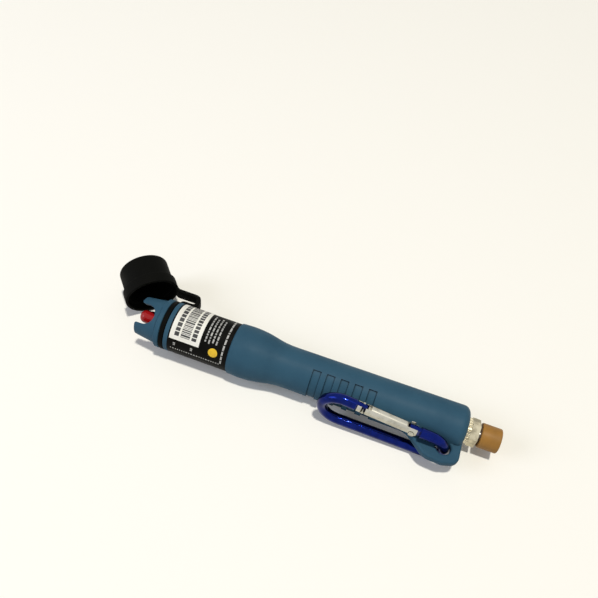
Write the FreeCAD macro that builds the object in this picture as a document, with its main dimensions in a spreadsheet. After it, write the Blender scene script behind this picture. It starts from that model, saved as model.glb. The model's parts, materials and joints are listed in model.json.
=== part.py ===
import FreeCAD, Part
import math
import os
import re
import Sketcher

# Pen-type optical light source: a red light module behind a 2.5 mm optical port, run by two AA cells.
# The pen frame has x = 0 on the housing's tail face and +x along the axis towards the head, +y towards
# the lug and +z up. A last placement lays the finished pen on the table.

os.makedirs("parts", exist_ok=True)
doc = FreeCAD.newDocument("optical_light_source")
sheet = doc.addObject("Spreadsheet::Sheet", "dims")

SIZES = (
    # Housing
    ("housing_length", 164.5, "tail face to the head's front face"),
    ("front_band", 2.8, "width of the band before the tether groove"),
    ("ring_groove", 2.8, "width of the tether groove"),
    ("rear_band", 2.4, "width of the band behind the tether groove"),
    ("label_width", 32.5, "width of the label's recess"),
    ("label_step", 0.6, "width of the sloped edge behind the label"),
    ("shoulder_run", 11.3, "label edge to the shoulder's corner"),
    ("taper_run", 14.5, "shoulder's corner to the waist's corner"),
    ("band_radius", 13.1, "bands at the head"),
    ("groove_radius", 11.0, "floor of the tether groove"),
    ("label_recess", 0.3, "floor of the label's recess below the bands"),
    ("edge_rise", 0.4, "sloped edge behind the label above the bands"),
    ("shoulder_rise", 0.7, "shoulder's corner above the sloped edge"),
    ("waist_radius", 11.0, "waist's corner"),
    ("tail_radius", 11.6, "handle at the tail"),
    ("shoulder_blend", 58, "fillet of the shoulder"),
    ("waist_blend", 45, "fillet of the waist"),
    ("shoulder_share", 0.6, "most of the taper that the shoulder's fillet takes"),
    ("waist_share", 0.4, "most of the taper that the waist's fillet takes"),
    ("tail_blend", 3.5, "fillet of the tail's rim"),
    ("band_blend", 0.5, "fillet of the bands' rims"),
    ("tail_wall", 3.0, "wall at the tail"),
    ("cell_clear", 0.35, "room round the cells"),
    ("module_radius", 8.05, "bore round the light module"),
    ("thread_radius", 9.5, "bore that takes the nose's spigot"),
    ("thread_length", 10.2, "length of that bore"),
    ("seal_radius", 10.4, "counterbore of the nose seal"),
    ("seal_depth", 1.3, "depth of that counterbore"),
    # Grip
    ("grip_front", 78.5, "middle of the foremost grip recess"),
    ("grip_pitch", 7.3, "from recess to recess"),
    ("grip_width", 4.4, "recess along the pen"),
    ("grip_depth", 0.6, "recess into the handle"),
    ("grip_count", 5, "recesses in the row"),
    ("grip_arc", 150, "recess round the handle, degrees"),
    # Lug
    ("lug_rise", 11.2, "lug's outer edge above the handle"),
    ("lug_bite", 1.0, "cells' bore to the lug's inner edge, inside the wall"),
    ("lug_length", 36.0, "lug along the handle"),
    ("lug_thick", 4.4, "lug's thickness"),
    ("lug_blend", 1.2, "fillet of the lug's edges"),
    ("toe_run", 2.0, "lug's toe along the handle"),
    ("toe_sink", 0.4, "lug's toe under the handle's face"),
    ("hollow_run", 9.0, "lug's front end to its hollow"),
    ("hollow_rise", 1.6, "hollow above the handle's face"),
    ("hollow_blend", 12, "fillet of the hollow"),
    ("bulge_run", 18.8, "lug's front end to its bulge"),
    ("bulge_drop", 0.6, "bulge below the lug's outer edge"),
    ("bulge_blend", 9, "fillet of the bulge"),
    ("corner_run", 1.0, "lug's rear corner behind the hole's middle"),
    ("corner_drop", 2.4, "lug at the tail face below its outer edge"),
    ("corner_blend", 4.5, "fillet of the rear corners"),
    ("hole_room", 1.0, "room round the clip's bar in the lug's hole"),
    ("hole_x", 8.6, "hole from the tail face"),
    ("clip_gap", 0.25, "clip's bar to the handle"),
    # Nose
    ("crown_radius", 10.2, "outside of the ears' tips"),
    ("crown_base", 11.8, "outside of the crown at its seam"),
    ("crown_seam", 0.4, "groove between the housing and the crown"),
    ("crown_length", 11.9, "front face of the housing to the ears' tips"),
    ("crown_wall", 2.5, "wall of the crown's ears"),
    ("crown_floor", 2.0, "front face of the housing to the crown's floor"),
    ("floor_thick", 3.0, "thickness of that floor"),
    ("ear_count", 3, "ears round the crown"),
    ("valley_radius", 5.3, "half the width of the round-bottomed valley between two ears"),
    ("valley_floor", 0.4, "crown's floor to the valley's bottom"),
    ("valley_turn", 66, "first valley from the lug's side, degrees"),
    ("ear_blend", 1.2, "fillet of the ears' tips"),
    ("seal_wire", 1.0, "section of the nose seal"),
    # Optical port
    ("port_radius", 3.0, "outside of the port sleeve"),
    ("port_length", 10.6, "front face of the housing to the port sleeve's end"),
    ("port_flange", 4.6, "flange of the port sleeve"),
    ("flange_thick", 1.2, "thickness of that flange"),
    ("ferrule_radius", 1.25, "bore for a 2.5 mm ferrule"),
    ("ferrule_wall", 0.4, "wall of the split sleeve"),
    ("ferrule_length", 12.4, "length of the split sleeve"),
    ("ferrule_slit", 16, "slit of the split sleeve, degrees"),
    ("dust_radius", 3.5, "outside of the dust cap"),
    ("dust_length", 10.9, "length of the dust cap"),
    ("dome_flat", 0.3, "dust cap's dome short of a half ball"),
    # Light module
    ("barrel_radius", 6.0, "outside of the light module's barrel"),
    ("barrel_wall", 1.2, "wall of the barrel"),
    ("beam_radius", 1.0, "hole for the beam"),
    ("lens_thick", 2.4, "thickness of the lens"),
    ("diode_length", 5.0, "length of the emitter's can"),
    ("board_length", 15.5, "driver board along the pen"),
    ("board_width", 12.0, "driver board across the pen"),
    ("board_thick", 1.2, "thickness of the driver board"),
    ("carrier_thick", 3.0, "thickness of the contact carrier"),
    ("contact_radius", 2.5, "head of the front contact"),
    ("contact_head", 0.8, "thickness of that head"),
    ("contact_stem", 1.5, "stem of the front contact"),
    # Cells
    ("cell_radius", 7.25, "AA cell"),
    ("cell_length", 50.5, "AA cell with its terminal"),
    ("terminal_radius", 2.75, "cell's positive terminal"),
    ("terminal_length", 1.2, "height of that terminal"),
    ("tail_spring_length", 7.0, "spring behind the cells"),
    ("tail_spring_radius", 4.5, "middle of its wire"),
    ("tail_spring_wire", 0.8, "diameter of its wire"),
    ("tail_spring_pitch", 1.9, "from turn to turn"),
    # Tail switch
    ("switch_length", 14.0, "switch body"),
    ("switch_wall", 1.2, "wall at the switch body's inner end"),
    ("bush_radius", 4.0, "threaded bush"),
    ("bush_length", 9.3, "bush from the tail wall's inner face"),
    ("plunger_radius", 2.5, "plunger"),
    ("plunger_end", 6.2, "switch body's inner end to the plunger"),
    ("plunger_seat", 5.0, "plunger's length in the push cap"),
    ("button_wire", 0.5, "wire of the return spring"),
    ("button_pitch", 1.2, "return spring from turn to turn"),
    ("washer_radius", 6.7, "serrated washer"),
    ("washer_thick", 2.2, "thickness of the washer"),
    ("washer_teeth", 24, "teeth of the washer"),
    ("washer_notch", 0.45, "radius of a notch between two teeth"),
    ("nut_across", 12.4, "nut across its flats"),
    ("nut_thick", 4.1, "thickness of the nut"),
    ("button_gap", 1.2, "nut to the push cap"),
    ("button_radius", 6.3, "outside of the push cap"),
    ("button_length", 10.0, "length of the push cap"),
    ("button_blend", 0.6, "fillet of the push cap's rims"),
    # Label
    ("label_thick", 0.15, "label film"),
    ("sticker_thick", 0.1, "sticker film"),
    ("sticker_width", 16.3, "sticker along the pen"),
    ("sticker_inset", 0.8, "sticker from the label's front edge"),
    ("sticker_arc", 130, "sticker round the pen, degrees"),
    ("sticker_start", 31, "sticker's lower edge from the lug's side, degrees"),
    # Tether and cap
    ("ring_width", 2.3, "tether's ring along the pen"),
    ("ring_radius", 13.1, "outside of the ring"),
    ("tab_root", 1.0, "tether's tab inside the ring"),
    ("strap_lift", 0.3, "strap above the bands"),
    ("strap_height", 6.4, "strap across its face"),
    ("strap_thick", 1.9, "strap's thickness"),
    ("strap_bend", 3.3, "hairpin at the strap's mid-line"),
    ("strap_back", 4.6, "ring to the hairpin's centre"),
    ("strap_forward", 11.8, "hairpin's centre to the strap's end"),
    ("cup_wall", 1.3, "wall of the cap's cup"),
    ("cup_room", 0.2, "room between the crown and the cup"),
    ("cup_length", 19.0, "cap from its mouth to its closed end"),
    ("cup_floor", 2.2, "cup's end wall"),
    ("skirt_wall", 1.4, "wall of the cap's skirt"),
    ("skirt_room", 0.1, "room between the front band and the skirt"),
    ("skirt_length", 6.0, "length of the skirt"),
    ("cup_blend", 1.4, "fillet of the cap's closed end"),
    ("cap_ahead", 1.2, "middle of the cap's mouth ahead of the ears' tips"),
    ("cap_tuck", 7.45, "middle of the cap's mouth inside the strap's outer leg"),
    ("cap_z", -0.2, "middle of the cap's mouth above the pen axis"),
    ("cap_yaw", 48, "cap's axis from the pen axis, degrees"),
    ("cap_dip", -6.4, "cap's axis below level, degrees"),
    # Spring clip
    ("bar_size", 5.5, "diameter of the clip's bar"),
    ("clip_length", 68.5, "clip over its two ends"),
    ("narrow_bend", 7.8, "bend at the lug, at the bar's mid-line"),
    ("wide_bend", 10.0, "bend at the far end"),
    ("gate_length", 31.0, "clip's gate"),
    ("gate_start", 19.3, "clip's narrow end to the gate"),
    ("gate_play", 0.8, "gate to the nose's shoulder"),
    ("pivot_inset", 2.3, "gate's end to its pivot"),
    ("pivot_room", 4.3, "pivot to the bar's shoulder"),
    ("latch_inset", 3.2, "gate's free end to the nose pin"),
    ("slot_width", 2.4, "slots in the gate's ends"),
    ("tongue_play", 0.2, "tongue to the slot's wall"),
    ("tongue_height", 4.4, "tongue across the bar"),
    ("tongue_root", 1.0, "tongue inside the bar"),
    ("slot_play", 1.2, "tongue's end to the slot's end"),
    ("latch_tongue", 6.6, "nose tongue beyond its shoulder"),
    ("pivot_radius", 0.9, "gate pin"),
    ("rivet_radius", 1.5, "heads of the gate pin"),
    ("rivet_head", 0.5, "height of those heads"),
    ("nose_radius", 0.8, "nose pin"),
    ("nose_notch", 2.2, "notches that take the nose pin"),
    ("gate_bore", 1.5, "bore for the gate's spring"),
    ("coil_inset", 0.35, "bore's wall to the middle of the spring's wire"),
    ("gate_spring_length", 10.0, "gate's spring"),
    ("gate_spring_wire", 0.45, "wire of the gate's spring"),
    ("gate_spring_pitch", 1.1, "gate's spring from turn to turn"),
    ("hole_offset", 0.25, "clip's bar off the middle of the lug's hole"),
    ("clip_drop", 1.6, "clip's middle below the lug's"),
    ("clip_yaw", 0.1, "clip towards the handle, degrees"),
    ("clip_rise", 4.0, "clip's far end upwards, degrees"),
    # Fits
    ("fit", 0.05, "room round a seated piece"),
    ("film_fit", 0.02, "room under a film"),
    ("pin_fit", 0.03, "room round a pin"),
    ("face_fit", 0.05, "room between two end faces"),
)
NOTE_COLUMN, VALUE_COLUMN = "A", "B"
for row, (alias, number, note) in enumerate(SIZES, start=1):
    sheet.set(f"{NOTE_COLUMN}{row}", note)
    sheet.set(f"{VALUE_COLUMN}{row}", str(number))
    sheet.setAlias(f"{VALUE_COLUMN}{row}", alias)
doc.recompute()

# Places that several pieces share, each worked out from the sheet
PLACES = {
    "groove_front": "housing_length - front_band",
    "groove_back": "groove_front - ring_groove",
    "label_front": "groove_back - rear_band",
    "label_back": "label_front - label_width",
    "edge_top": "label_back - label_step",
    "shoulder_x": "label_back - shoulder_run",
    "waist_x": "shoulder_x - taper_run",
    "label_radius": "band_radius - label_recess",
    "edge_radius": "band_radius + edge_rise",
    "shoulder_radius": "edge_radius + shoulder_rise",
    "taper_slope": "atan((shoulder_radius - waist_radius) / taper_run)",
    "shoulder_turn": "atan(shoulder_rise / (edge_top - shoulder_x)) + taper_slope",
    "waist_turn": "taper_slope + atan((tail_radius - waist_radius) / waist_x)",
    "cell_bore": "cell_radius + cell_clear",
    "lug_root": "cell_bore + lug_bite",
    "lug_reach": "tail_radius + lug_rise",
    "hole_radius": "bar_size / 2 + hole_room",
    "hole_y": "tail_radius + bar_size / 2 + clip_gap",
    "switch_back": "tail_wall + switch_length",
    "cells_back": "switch_back + tail_spring_length",
    "cells_front": "cells_back + 2 * cell_length",
    "carrier_back": "cells_front + contact_head + 2 * face_fit",
    "carrier_front": "carrier_back + carrier_thick",
    "barrel_back": "carrier_front + board_length + 2 * face_fit",
    "thread_back": "housing_length - thread_length",
    "seal_back": "housing_length - seal_depth",
    "seal_inner": "seal_radius - seal_wire - 2 * fit",
    "crown_back": "seal_back + seal_wire + 3 * fit",
    "spigot_back": "thread_back + 4 * face_fit",
    "floor_front": "housing_length + crown_floor",
    "floor_back": "floor_front - floor_thick",
    "flange_back": "floor_back - face_fit - flange_thick",
    "barrel_front": "flange_back - face_fit",
    "ear_tip": "housing_length + crown_length",
    "valley_x": "floor_front + valley_floor + valley_radius",
    "port_end": "housing_length + port_length",
    "dust_back": "floor_front + 2 * face_fit",
    "ring_x": "groove_front - ring_groove / 2",
    "strap_y": "band_radius + strap_lift + strap_thick / 2",
    "bend_x": "ring_x - strap_back",
    "strap_end": "bend_x + strap_forward",
    "outer_y": "strap_y + 2 * strap_bend",
    "cup_bore": "crown_base + cup_room",
    "cup_radius": "cup_bore + cup_wall",
    "skirt_bore": "band_radius + skirt_room",
    "skirt_radius": "skirt_bore + skirt_wall",
    "cap_x": "ear_tip + cap_ahead",
    "cap_y": "outer_y - cap_tuck",
    "tail_face": "switch_length + tail_wall",
    "washer_end": "tail_face + washer_thick",
    "nut_end": "washer_end + face_fit + nut_thick",
    "button_back": "nut_end + button_gap",
    "gate_end": "gate_start + gate_length",
    "pivot_u": "gate_start + pivot_inset",
    "pivot_shoulder": "pivot_u - pivot_room",
    "nose_shoulder": "gate_end + gate_play",
    "latch_u": "gate_end - latch_inset",
    "narrow_u": "narrow_bend + bar_size / 2",
    "wide_u": "clip_length - wide_bend - bar_size / 2",
}
ALIASES = {alias for alias, number, note in SIZES}


def bound(words):
    """Write an expression of size and place names as one that the document can evaluate."""
    def named(match):
        word = match[0]
        if word in PLACES:
            return f"({bound(PLACES[word])})"
        return f"dims.{word}" if word in ALIASES else word
    return re.sub(r"[a-z_]+", named, words)


def value(words):
    """Return the number that an expression of size and place names has now."""
    result = sheet.evalExpression(bound(words))
    return float(getattr(result, "Value", result))


def new_body(name):
    """Start a piece as a body whose label names its file."""
    body = doc.addObject("PartDesign::Body", name)
    body.Label = name
    pieces.append(body)
    return body


def new_sketch(body, name, plane, lift=None):
    """Put an empty sketch on one of the body's origin planes, or on a plane parallel to it."""
    sketch = body.newObject("Sketcher::SketchObject", name)
    origin_plane = next(part for part in body.Origin.OriginFeatures if part.Role == plane)
    sketch.AttachmentSupport = (origin_plane, "")
    sketch.MapMode = "FlatFace"
    if lift:
        sketch.setExpression(".AttachmentOffset.Base.z", bound(lift))
    return sketch


def tie(sketch, element, vertex, across, up):
    """Bind a sketch point's coordinates to expressions; a zero puts it on the axis, None leaves it."""
    for words, kind, axis in ((across, "DistanceX", Y_AXIS), (up, "DistanceY", X_AXIS)):
        if words is None:
            continue
        if words == "0":
            sketch.addConstraint(Sketcher.Constraint("PointOnObject", element, vertex, axis))
            continue
        rule = Sketcher.Constraint(kind, X_AXIS, START, element, vertex, value(words))
        number = sketch.addConstraint(rule)
        sketch.setExpression(f"Constraints[{number}]", bound(words))


def outline(body, name, plane, corners):
    """Draw a closed outline through the corners, each bound to the sheet.

    A corner is (across, up). A third item, (centre across, (across, up) of a point on the way), makes
    the side to the next corner an arc; the sketch keeps arcs counter-clockwise, so some run backwards.
    """
    sketch = new_sketch(body, name, plane)
    points = [FreeCAD.Vector(value(corner[0]), value(corner[1]), 0) for corner in corners]
    ends = []
    for number, corner in enumerate(corners):
        point, following = points[number], points[(number + 1) % len(points)]
        forward = True
        if len(corner) == 2:
            sketch.addGeometry(Part.LineSegment(point, following))
        else:
            way = FreeCAD.Vector(value(corner[2][1][0]), value(corner[2][1][1]), 0)
            forward = (way - point).cross(following - way).z > 0
            first, last = (point, following) if forward else (following, point)
            sketch.addGeometry(Part.Arc(first, way, last))
        ends.append((START, END) if forward else (END, START))
    for number, corner in enumerate(corners):
        following = (number + 1) % len(corners)
        join = Sketcher.Constraint("Coincident", number, ends[number][1], following, ends[following][0])
        sketch.addConstraint(join)
        tie(sketch, number, ends[number][0], corner[0], corner[1])
        if len(corner) > 2:
            tie(sketch, number, CENTRE, corner[2][0], None)
    return sketch


def ring_outline(body, name, plane, across, up, radius, lift=None):
    """Draw one circle, with its centre and radius bound to the sheet."""
    sketch = new_sketch(body, name, plane, lift)
    centre = FreeCAD.Vector(value(across), value(up), 0)
    sketch.addGeometry(Part.Circle(centre, FreeCAD.Vector(0, 0, 1), value(radius)))
    tie(sketch, 0, CENTRE, across, up)
    number = sketch.addConstraint(Sketcher.Constraint("Radius", 0, value(radius)))
    sketch.setExpression(f"Constraints[{number}]", bound(radius))
    return sketch


def revolve(body, sketch, kind="PartDesign::Revolution", arc="360", midplane=False):
    """Turn an outline about the pen axis, as a solid or as a groove."""
    feature = body.newObject(kind, f"{sketch.Name}_turned")
    feature.Profile = sketch
    feature.ReferenceAxis = (sketch, ["H_Axis"])
    feature.Midplane = midplane
    feature.setExpression("Angle", bound(arc))
    return feature


def turned(name, corners, arc="360"):
    """Make a turned piece from its half section, given as (along the axis, radius) corners."""
    body = new_body(name)
    revolve(body, outline(body, f"{name}_section", "XY_Plane", corners), arc=arc)
    return body


def extrude(body, sketch, kind, length, midplane=False, reverse=False):
    """Pad or pocket an outline by a length bound to the sheet."""
    feature = body.newObject(kind, f"{sketch.Name}_cut" if "Pocket" in kind else f"{sketch.Name}_pad")
    feature.Profile = sketch
    feature.Midplane = midplane
    feature.Reversed = reverse
    feature.setExpression("Length", bound(length))
    return feature


def round_edges(body, name, radius, chosen, kind="PartDesign::Fillet"):
    """Fillet the edges of the body that the test picks out."""
    doc.recompute()
    base = body.Tip
    edges = [f"Edge{number}" for number, edge in enumerate(base.Shape.Edges, start=1) if chosen(edge)]
    fillet = body.newObject(kind, name)
    fillet.Base = (base, edges)
    fillet.setExpression("Radius", bound(radius))
    return fillet


def circle_at(*places):
    """Give a test that picks out circular edges by (along the axis, radius)."""
    wanted = [(value(along), value(radius)) for along, radius in places]

    def chosen(edge):
        if not isinstance(edge.Curve, Part.Circle):
            return False
        along, radius = edge.Curve.Center.x, edge.Curve.Radius
        return any(abs(along - x) < NEAR and abs(radius - r) < NEAR for x, r in wanted)
    return chosen


def round_the_axis(body, feature, count):
    """Repeat a feature round the pen axis."""
    pattern = body.newObject("PartDesign::PolarPattern", f"{feature.Name}_round")
    pattern.Originals = [feature]
    pattern.Axis = (next(part for part in body.Origin.OriginFeatures if part.Role == "X_Axis"), [""])
    pattern.Angle = 360
    pattern.setExpression("Occurrences", bound(count))
    body.Tip = pattern
    return pattern


def coil_spring(name, start, length, radius, wire, pitch):
    """Wind a coil spring along the pen axis from its start, with the wire inside its length."""
    helix = doc.addObject("Part::Helix", f"{name}_line")
    helix.setExpression("Pitch", bound(pitch))
    helix.setExpression("Height", bound(f"{length} - {wire}"))
    helix.setExpression("Radius", bound(radius))
    section = doc.addObject("Part::Circle", f"{name}_wire")
    section.Placement.Rotation = FreeCAD.Rotation(FreeCAD.Vector(1, 0, 0), 90)
    section.setExpression("Radius", bound(f"{wire} / 2"))
    section.setExpression(".Placement.Base.x", bound(radius))
    spring = doc.addObject("Part::Sweep", name)
    spring.Sections = [section]
    spring.Spine = (helix, ["Edge1"])
    spring.Solid = True
    spring.Frenet = True
    spring.Label = name
    upright = FreeCAD.Rotation(FreeCAD.Vector(0, 1, 0), 90)
    spring.Placement = FreeCAD.Placement(FreeCAD.Vector(value(f"{start} + {wire} / 2"), 0, 0), upright)
    pieces.append(spring)
    return spring


X_AXIS, Y_AXIS = -1, -2
START, END, CENTRE = 1, 2, 3
NEAR = 0.02
MID_ARC = 1 - math.sqrt(0.5)
pieces = []

# Housing: lug plate first, then the turned shell, the grip recesses and the rounded rims
housing = new_body("housing")
lug_plate = outline(housing, "lug_outline", "XY_Plane", (
    ("0", "lug_root"),
    ("lug_length", "lug_root"),
    ("lug_length - toe_run", "tail_radius - toe_sink"),
    ("lug_length - hollow_run", "tail_radius + hollow_rise"),
    ("lug_length - bulge_run", "lug_reach - bulge_drop"),
    ("hole_x - corner_run", "lug_reach"),
    ("0", "lug_reach - corner_drop"),
))
extrude(housing, lug_plate, "PartDesign::Pad", "lug_thick", midplane=True)


def upright_at(*places):
    """Give a test that picks out the plate's upright edges by (x, y)."""
    wanted = [(value(x), value(y)) for x, y in places]

    def chosen(edge):
        middle = edge.CenterOfMass
        upright = abs(edge.tangentAt(edge.FirstParameter).z) > 0.99
        return upright and any(abs(middle.x - x) < NEAR and abs(middle.y - y) < NEAR for x, y in wanted)
    return chosen


round_edges(housing, "lug_hollow", "hollow_blend", upright_at(
    ("lug_length - hollow_run", "tail_radius + hollow_rise"),
))
round_edges(housing, "lug_bulge", "bulge_blend", upright_at(
    ("lug_length - bulge_run", "lug_reach - bulge_drop"),
))
round_edges(housing, "lug_corner", "corner_blend", upright_at(
    ("hole_x - corner_run", "lug_reach"),
    ("0", "lug_reach - corner_drop"),
))
hole = ring_outline(housing, "lug_hole", "XY_Plane", "hole_x", "hole_y", "hole_radius")
extrude(housing, hole, "PartDesign::Pocket", "2 * lug_thick", midplane=True)


def rim_of_plate(edge):
    """Pick out the edges round the plate's two faces and its hole."""
    level = edge.BoundBox
    flat = level.ZLength < NEAR and abs(abs(level.ZMax) - value("lug_thick") / 2) < NEAR
    return flat and edge.CenterOfMass.y > value("lug_root") + NEAR


round_edges(housing, "lug_rims", "lug_blend", rim_of_plate)
shell = outline(housing, "shell_section", "XY_Plane", (
    ("0", "bush_radius + fit"),
    ("0", "tail_radius - tail_blend",
     ("tail_blend", (f"{MID_ARC} * tail_blend", f"tail_radius - {MID_ARC} * tail_blend"))),
    ("tail_blend", "tail_radius"),
    ("waist_x", "waist_radius"),
    ("shoulder_x", "shoulder_radius"),
    ("edge_top", "edge_radius"),
    ("label_back", "label_radius"),
    ("label_front", "label_radius"),
    ("label_front", "band_radius"),
    ("groove_back", "band_radius"),
    ("groove_back", "groove_radius"),
    ("groove_front", "groove_radius"),
    ("groove_front", "band_radius"),
    ("housing_length", "band_radius"),
    ("housing_length", "seal_radius"),
    ("seal_back", "seal_radius"),
    ("seal_back", "thread_radius"),
    ("thread_back", "thread_radius"),
    ("thread_back", "module_radius"),
    ("carrier_back - face_fit", "module_radius"),
    ("carrier_back - face_fit", "cell_bore"),
    ("tail_wall", "cell_bore"),
    ("tail_wall", "bush_radius + fit"),
))
revolve(housing, shell)
round_edges(housing, "shoulder_round",
            "min(shoulder_blend; shoulder_share * taper_run / tan(shoulder_turn / 2))",
            circle_at(("shoulder_x", "shoulder_radius")))
round_edges(housing, "waist_round",
            "min(waist_blend; waist_share * taper_run / tan(waist_turn / 2))",
            circle_at(("waist_x", "waist_radius")))
round_edges(housing, "band_rims", "band_blend", circle_at(
    ("groove_back", "band_radius"),
    ("groove_front", "band_radius"),
    ("housing_length", "band_radius"),
))
grip_floor = "tail_radius - (tail_radius - waist_radius) * grip_front / waist_x - grip_depth"
grip = outline(housing, "grip_section", "XY_Plane", (
    ("grip_front - grip_width / 2", grip_floor),
    ("grip_front + grip_width / 2", grip_floor),
    ("grip_front + grip_width / 2", "band_radius"),
    ("grip_front - grip_width / 2", "band_radius"),
))
recess = revolve(housing, grip, "PartDesign::Groove", "grip_arc", midplane=True)
recesses = housing.newObject("PartDesign::LinearPattern", "grip_row")
recesses.Originals = [recess]
recesses.Direction = (next(part for part in housing.Origin.OriginFeatures if part.Role == "X_Axis"), [""])
recesses.Reversed = True
recesses.setExpression("Occurrences", bound("grip_count"))
recesses.setExpression("Length", bound("(grip_count - 1) * grip_pitch"))
housing.Tip = recesses

# Nose crown: spigot, seal relief, floor of the port and the ring of ears
nose_crown = turned("nose_crown", (
    ("spigot_back", "barrel_radius + fit"),
    ("spigot_back", "thread_radius - fit"),
    ("seal_back", "thread_radius - fit"),
    ("seal_back", "seal_inner - fit"),
    ("crown_back", "seal_inner - fit"),
    ("crown_back", "seal_radius - fit"),
    ("housing_length + crown_seam", "seal_radius - fit"),
    ("housing_length + crown_seam", "crown_base"),
    ("ear_tip", "crown_radius"),
    ("ear_tip", "crown_radius - crown_wall"),
    ("floor_front", "crown_radius - crown_wall"),
    ("floor_front", "port_radius + fit"),
    ("floor_back", "port_radius + fit"),
    ("floor_back", "barrel_radius + fit"),
))
valley = outline(nose_crown, "ear_valley", "XZ_Plane", (
    ("ear_tip + ear_blend", "-valley_radius"),
    ("ear_tip + ear_blend", "valley_radius"),
    ("valley_x", "valley_radius", ("valley_x", ("valley_x - valley_radius", "0"))),
    ("valley_x", "-valley_radius"),
))
valley_cut = extrude(nose_crown, valley, "PartDesign::Pocket", "2 * crown_radius")
round_the_axis(nose_crown, valley_cut, "ear_count")


def ear_corner(edge):
    """Pick out the edges where the valleys meet the ears' end faces."""
    level = edge.BoundBox
    at_tip = level.XLength < NEAR and abs(level.XMax - value("ear_tip")) < NEAR
    return at_tip and isinstance(edge.Curve, Part.Line)


round_edges(nose_crown, "ear_tips", "ear_blend", ear_corner)

seal = doc.addObject("Part::Torus", "nose_seal")
seal.Label = "nose_seal"
seal.setExpression("Radius1", bound("seal_radius - fit - seal_wire / 2"))
seal.setExpression("Radius2", bound("seal_wire / 2"))
along_axis = FreeCAD.Rotation(FreeCAD.Vector(0, 1, 0), 90)
seal.Placement = FreeCAD.Placement(FreeCAD.Vector(value("seal_back + seal_wire / 2 + fit"), 0, 0), along_axis)
pieces.append(seal)

# Optical port: flanged sleeve, split ceramic sleeve and dust cap
turned("port_sleeve", (
    ("flange_back", "ferrule_radius + ferrule_wall + fit"),
    ("flange_back", "port_flange"),
    ("flange_back + flange_thick", "port_flange"),
    ("flange_back + flange_thick", "port_radius"),
    ("port_end", "port_radius"),
    ("port_end", "ferrule_radius + ferrule_wall + fit"),
))
turned("ferrule_sleeve", (
    ("flange_back", "ferrule_radius"),
    ("flange_back", "ferrule_radius + ferrule_wall"),
    ("flange_back + ferrule_length", "ferrule_radius + ferrule_wall"),
    ("flange_back + ferrule_length", "ferrule_radius"),
), arc="360 - ferrule_slit")
dust_cap = turned("dust_cap", (
    ("dust_back", "port_radius + fit"),
    ("dust_back", "dust_radius"),
    ("dust_back + dust_length", "dust_radius"),
    ("dust_back + dust_length", "0"),
    ("port_end + 2 * face_fit", "0"),
    ("port_end + 2 * face_fit", "port_radius + fit"),
))
round_edges(dust_cap, "dust_dome", "dust_radius - dome_flat", circle_at(
    ("dust_back + dust_length", "dust_radius"),
))

# Light module: barrel, lens and emitter, with the driver board and the contact behind it
barrel_bore = "barrel_radius - barrel_wall"
turned("laser_barrel", (
    ("barrel_back", barrel_bore),
    ("barrel_back", "barrel_radius"),
    ("barrel_front", "barrel_radius"),
    ("barrel_front", "beam_radius"),
    ("barrel_front - barrel_wall", "beam_radius"),
    ("barrel_front - barrel_wall", barrel_bore),
))
lens_front = "barrel_front - barrel_wall - face_fit"
turned("laser_lens", (
    (f"{lens_front} - lens_thick", "0"),
    (f"{lens_front} - lens_thick", "contact_stem"),
    (f"{lens_front} - lens_thick / 2", f"{barrel_bore} - fit"),
    (lens_front, f"{barrel_bore} - fit"),
    (lens_front, "0"),
))
turned("laser_diode", (
    ("barrel_back", "0"),
    ("barrel_back", f"{barrel_bore} - fit"),
    ("barrel_back + diode_length / 3", f"{barrel_bore} - fit"),
    ("barrel_back + diode_length / 3", "contact_radius"),
    ("barrel_back + diode_length", "contact_radius"),
    ("barrel_back + diode_length", "0"),
))
board = doc.addObject("Part::Box", "driver_board")
board.Label = "driver_board"
board.setExpression("Length", bound("board_length"))
board.setExpression("Width", bound("board_width"))
board.setExpression("Height", bound("board_thick"))
board.Placement.Base = FreeCAD.Vector(
    value("carrier_front + face_fit"), value("-board_width / 2"), value("-board_thick / 2"))
pieces.append(board)
turned("contact_carrier", (
    ("carrier_back", "contact_stem + fit"),
    ("carrier_back", "module_radius - fit"),
    ("carrier_front", "module_radius - fit"),
    ("carrier_front", "contact_stem + fit"),
))
turned("front_contact", (
    ("cells_front + face_fit", "0"),
    ("cells_front + face_fit", "contact_radius"),
    ("carrier_back - face_fit", "contact_radius"),
    ("carrier_back - face_fit", "contact_stem"),
    ("carrier_front", "contact_stem"),
    ("carrier_front", "0"),
))

# Two cells in a row, with the spring that presses them forward
for name, start in (("cell_rear", "cells_back"), ("cell_front", "cells_back + cell_length")):
    turned(name, (
        (start, "0"),
        (start, "cell_radius"),
        (f"{start} + cell_length - terminal_length", "cell_radius"),
        (f"{start} + cell_length - terminal_length", "terminal_radius"),
        (f"{start} + cell_length - face_fit", "terminal_radius"),
        (f"{start} + cell_length - face_fit", "0"),
    ))
coil_spring("tail_spring", "switch_back + face_fit", "tail_spring_length - 2 * face_fit",
            "tail_spring_radius", "tail_spring_wire", "tail_spring_pitch")

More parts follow.
